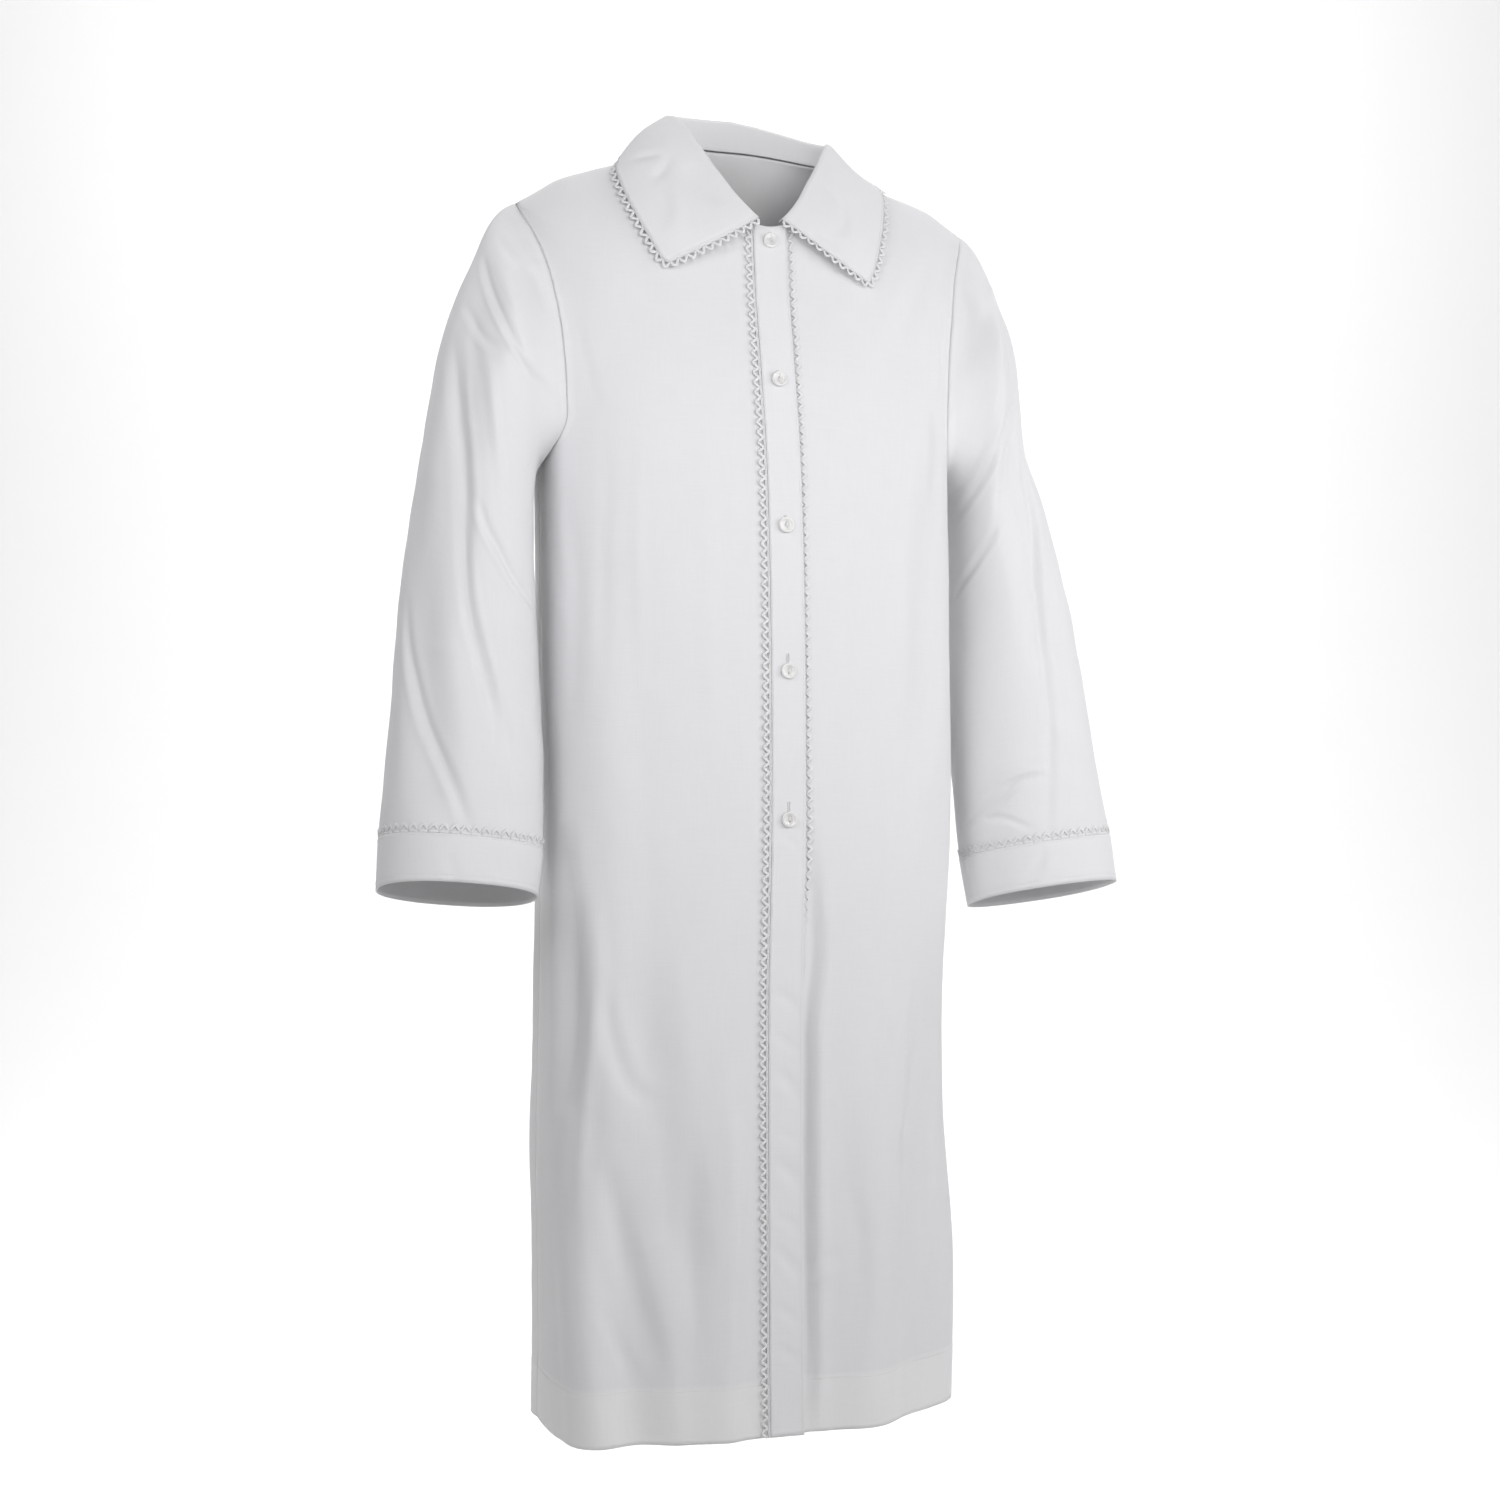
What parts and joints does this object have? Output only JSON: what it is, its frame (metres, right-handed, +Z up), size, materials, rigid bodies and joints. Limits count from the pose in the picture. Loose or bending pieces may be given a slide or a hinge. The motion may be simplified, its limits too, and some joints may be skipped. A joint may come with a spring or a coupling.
{
  "type": "kittel",
  "caption": "Long white buttoned robe for prayer in its worn hollow form, with a lie-down collar, wide sleeves, cuffs and lace edging along the bands, collar and cuffs.",
  "frame": {"origin": "in the middle of the neck, level with the neck end of the wearer's right shoulder seam, where the wearer's shoulders hold the robe", "axes": "+Z up, -Y the buttoned front, +X the wearer's left"},
  "size_m": [0.736, 0.2469, 1.2525],
  "materials": {
    "cloth": "fine semi-sheer plain-weave cotton batiste, matt, bleached white",
    "doubled_cloth": "the same batiste lying double, pressed flat, more opaque",
    "lace": "narrow white cotton scalloped lace edging",
    "button": "pearly off-white polished resin"
  },
  "bodies": {
    "root": {"front_right": "cloth", "front_left": "cloth", "back": "cloth", "sleeve_right": "cloth", "sleeve_left": "cloth", "cuff_right": "doubled_cloth", "cuff_left": "doubled_cloth", "collar": "doubled_cloth", "placket_right": "doubled_cloth", "placket_left": "doubled_cloth", "lace_collar": "lace", "lace_front_right": "lace", "lace_front_left": "lace", "lace_cuff_right": "lace", "lace_cuff_left": "lace", "button_1": "button", "button_2": "button", "button_3": "button", "button_4": "button", "button_5": "button"}
  },
  "joints": []
}
